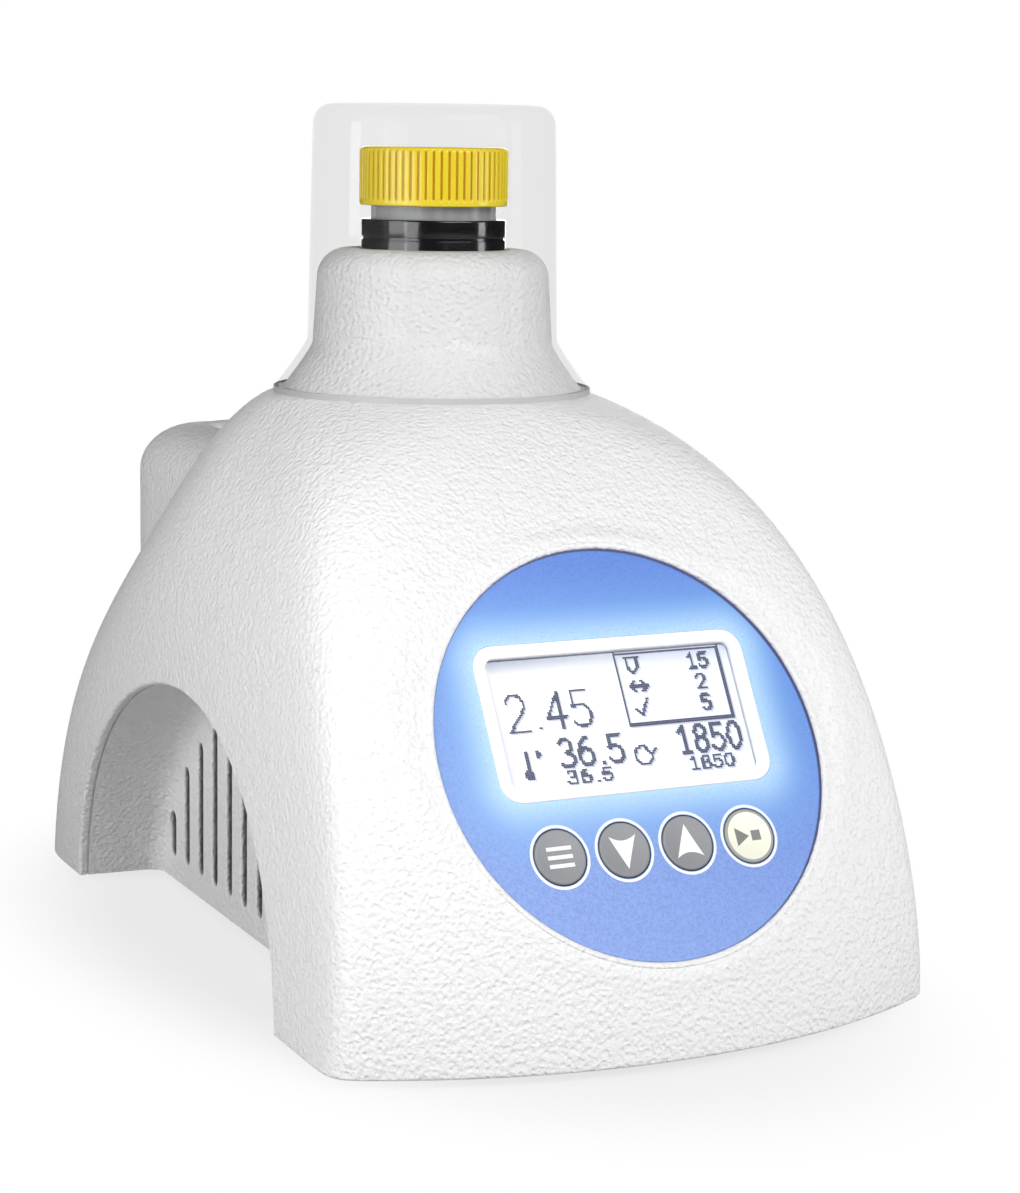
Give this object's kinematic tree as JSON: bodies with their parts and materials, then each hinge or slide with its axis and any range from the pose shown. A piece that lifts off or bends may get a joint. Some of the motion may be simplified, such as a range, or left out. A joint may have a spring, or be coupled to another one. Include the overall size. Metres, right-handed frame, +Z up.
{
  "type": "bench bioreactor",
  "caption": "Bench bioreactor: white arched housing with a round blue control panel, clear lift-off lid over a spinning capped 50 ml tube.",
  "frame": {"origin": "middle of the footprint, on the bench; the tube's axis stands 5 mm behind it", "axes": "+Z up, the panel faces -Y, +X to the right of someone facing the panel"},
  "size_m": [0.1488, 0.24, 0.202],
  "materials": {
    "housing_plastic": "moulded leather-like grain",
    "base_plastic": "fine moulded texture",
    "foot_rubber": "matte",
    "screw_steel": "bright zinc",
    "gasket_silicone": "translucent grey",
    "lid_clear": "polished clear",
    "overlay_blue": "fine satin film",
    "bezel_white": "satin",
    "window_clear": "polished clear",
    "display_glass": "backlit display",
    "circuit_board": "solder mask",
    "switch_black": "moulded",
    "key_grey": "satin",
    "key_cream": "satin",
    "chassis_aluminium": "machined",
    "motor_steel": "drawn steel",
    "shaft_steel": "ground",
    "holder_black": "semi-gloss",
    "tube_clear": "translucent",
    "filter_white": "porous membrane",
    "cap_yellow": "satin",
    "module_ceramic": "matte",
    "fitting_black": "fine moulded texture"
  },
  "bodies": {
    "base": {"housing": "housing_plastic", "base_plate": "base_plastic", "rubber_feet": "foot_rubber", "base_screws": "screw_steel", "lid_gasket": "gasket_silicone", "front_overlay": "overlay_blue", "display_bezel": "bezel_white", "display_window": "window_clear", "display_module": "display_glass", "display_board": "circuit_board", "board_screws": "screw_steel", "key_switches": "switch_black", "control_board": "circuit_board", "control_screws": "screw_steel", "chassis_plate": "chassis_aluminium", "chassis_posts": "chassis_aluminium", "chassis_screws": "screw_steel", "motor_can": "motor_steel", "motor_end_cap": "switch_black", "shaft_bearing": "shaft_steel", "heat_block": "chassis_aluminium", "insulation_sleeve": "switch_black", "temperature_sensor": "shaft_steel", "light_emitter": "switch_black", "light_detector": "switch_black", "thermoelectric_module": "module_ceramic", "heat_sink": "chassis_aluminium", "fan_frame": "switch_black", "fan_screws": "screw_steel", "power_inlet": "fitting_black", "inlet_nut": "shaft_steel", "data_port": "shaft_steel", "switch_frame": "fitting_black"},
    "rotor": {"motor_rotor": "motor_steel", "motor_shaft": "shaft_steel", "tube_holder": "holder_black", "tube": "tube_clear"},
    "cap_rise": {"vent_filter": "filter_white"},
    "cap": {"tube_cap": "cap_yellow"},
    "lid": {"clear_lid": "lid_clear"},
    "key_menu": {"key_menu": "key_grey"},
    "key_down": {"key_down": "key_grey"},
    "key_up": {"key_up": "key_grey"},
    "key_start": {"key_start": "key_cream"},
    "rocker": {"power_rocker": "fitting_black"},
    "impeller": {"fan_impeller": "switch_black"}
  },
  "joints": [
    {"name": "rotor_spin", "type": "hinge", "parent": "base", "child": "rotor", "pos_m": [0, 0.005, 0.1], "axis": [0, 0, 1], "continuous": true},
    {"name": "cap_lift", "type": "slide", "parent": "rotor", "child": "cap_rise", "axis": [0, 0, 1], "range_m": [0, 0.0051]},
    {"name": "cap_unscrew", "type": "hinge", "parent": "cap_rise", "child": "cap", "pos_m": [0, 0.005, 0.185], "axis": [0, 0, 1], "range_deg": [0, 450]},
    {"name": "lid_lift", "type": "slide", "parent": "base", "child": "lid", "axis": [0, 0, 1], "range_m": [0, 0.07]},
    {"name": "key_menu_press", "type": "slide", "parent": "base", "child": "key_menu", "axis": [0, 0.8738, -0.4863], "range_m": [0, 0.0004], "stiffness_N_per_m": 600},
    {"name": "key_down_press", "type": "slide", "parent": "base", "child": "key_down", "axis": [0, 0.8738, -0.4863], "range_m": [0, 0.0004], "stiffness_N_per_m": 600},
    {"name": "key_up_press", "type": "slide", "parent": "base", "child": "key_up", "axis": [0, 0.8738, -0.4863], "range_m": [0, 0.0004], "stiffness_N_per_m": 600},
    {"name": "key_start_press", "type": "slide", "parent": "base", "child": "key_start", "axis": [0, 0.8738, -0.4863], "range_m": [0, 0.0004], "stiffness_N_per_m": 600},
    {"name": "rocker_tilt", "type": "hinge", "parent": "base", "child": "rocker", "pos_m": [-0.012, 0.114, 0.046], "axis": [1, 0, 0], "range_deg": [0, 18]},
    {"name": "fan_spin", "type": "hinge", "parent": "base", "child": "impeller", "pos_m": [0, 0.107, 0.083], "axis": [0, 1, 0], "continuous": true}
  ],
  "couplings": [
    {"joint": "cap_lift", "follows": "cap_unscrew", "m_per_rad": 0.00063662}
  ]
}
